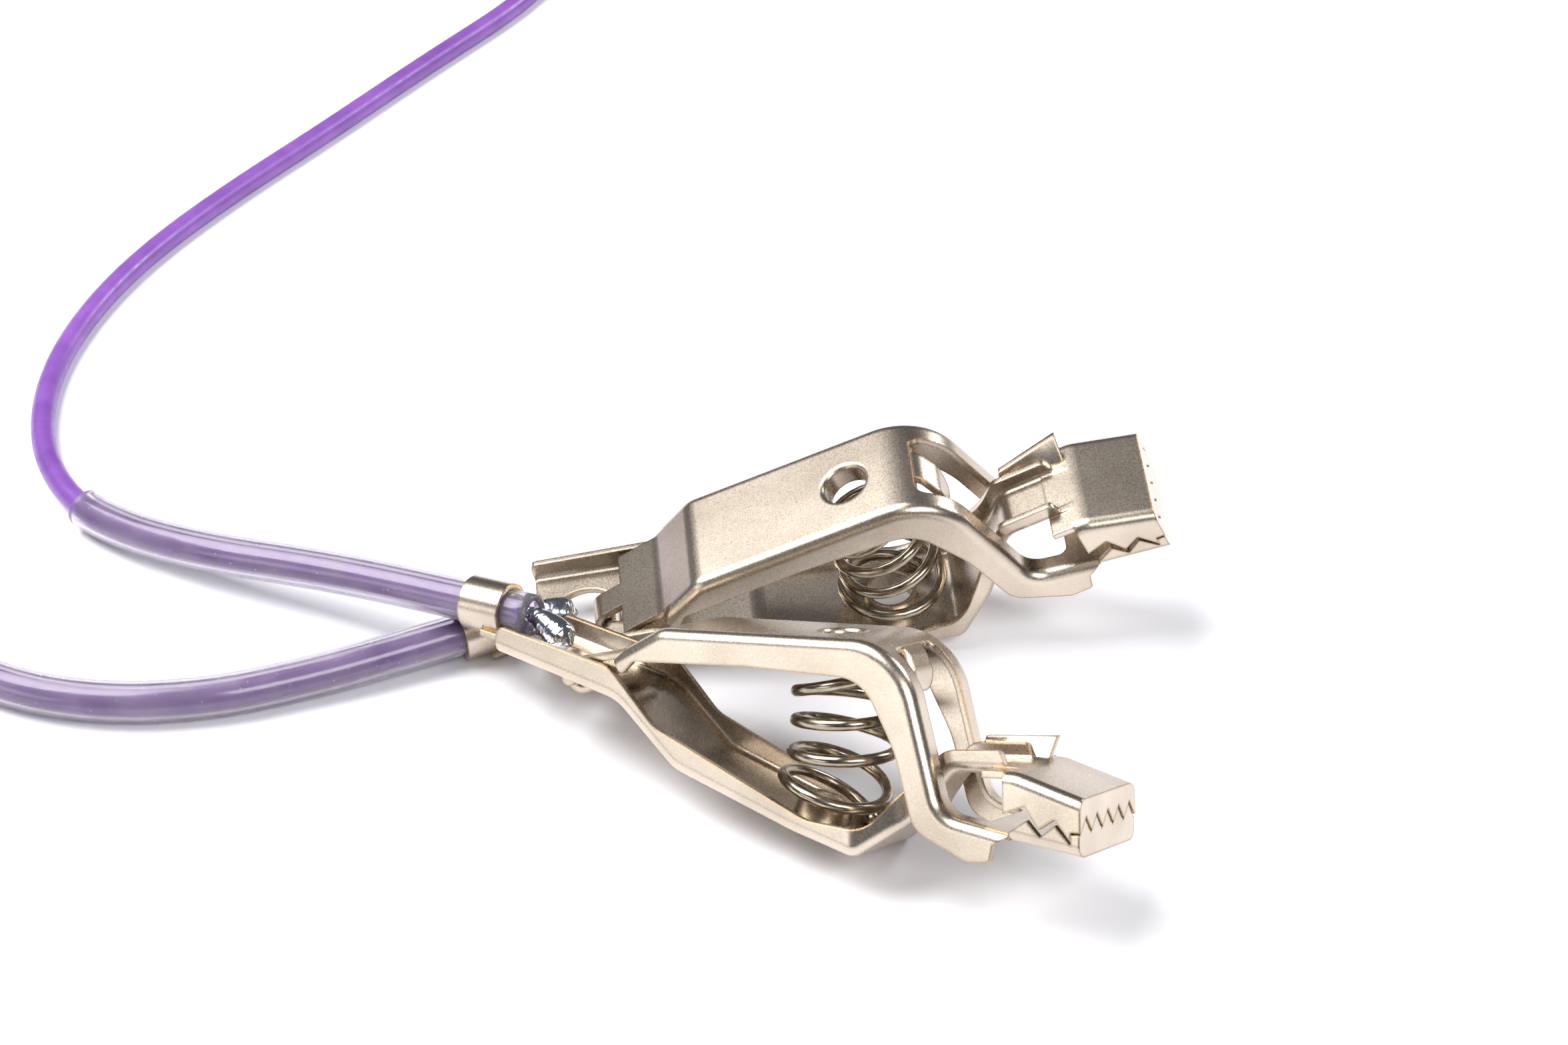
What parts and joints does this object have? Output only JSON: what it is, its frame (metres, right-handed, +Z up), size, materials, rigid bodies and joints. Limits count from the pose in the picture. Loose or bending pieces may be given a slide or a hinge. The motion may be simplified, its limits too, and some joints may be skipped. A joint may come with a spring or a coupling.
{
  "type": "spring clip test lead",
  "caption": "Short test lead with a toothed, nickel-plated spring clip on each end, crimped and soldered to an insulated wire under soft sleeves.",
  "frame": {"origin": "on the table, under the middle of the bounding box of the two clips without the lead", "axes": "+Z up, +X from the clips' tails to their jaws, +Y away from the viewer, from the front clip to the back clip"},
  "size_m": [0.1274, 0.1726, 0.0188],
  "materials": {
    "nickel_plate": "satin nickel plate over stamped sheet",
    "spring_steel": "drawn spring wire, nickel plated",
    "solder": "bright solder, set from the melt",
    "strands": "tinned copper strands",
    "wire_jacket": "extruded soft PVC, satin",
    "sleeve": "extruded translucent soft tube"
  },
  "bodies": {
    "inner_levers_and_lead": {"inner_lever_front": "nickel_plate", "spring_front": "spring_steel", "solder_front": "solder", "strands_front": "strands", "sleeve_front": "sleeve", "inner_lever_back": "nickel_plate", "spring_back": "spring_steel", "solder_back": "solder", "strands_back": "strands", "sleeve_back": "sleeve", "wire": "wire_jacket"},
    "outer_front": {"outer_lever_front": "nickel_plate"},
    "outer_back": {"outer_lever_back": "nickel_plate"}
  },
  "joints": [
    {"name": "squeeze_front", "type": "hinge", "parent": "inner_levers_and_lead", "child": "outer_front", "pos_m": [-0.01781, 0.00395, 0.00544], "axis": [0.4817, 0.7358, -0.4761], "range_deg": [0, 8], "stiffness_Nm_per_rad": 0.12, "springref_deg": -28.65, "deforming": ["spring_front"]},
    {"name": "squeeze_back", "type": "hinge", "parent": "inner_levers_and_lead", "child": "outer_back", "pos_m": [-0.0165, 0.01566, 0.00202], "axis": [-0.0906, 0.9868, 0.1345], "range_deg": [0, 8], "stiffness_Nm_per_rad": 0.12, "springref_deg": -28.65, "deforming": ["spring_back"]}
  ]
}
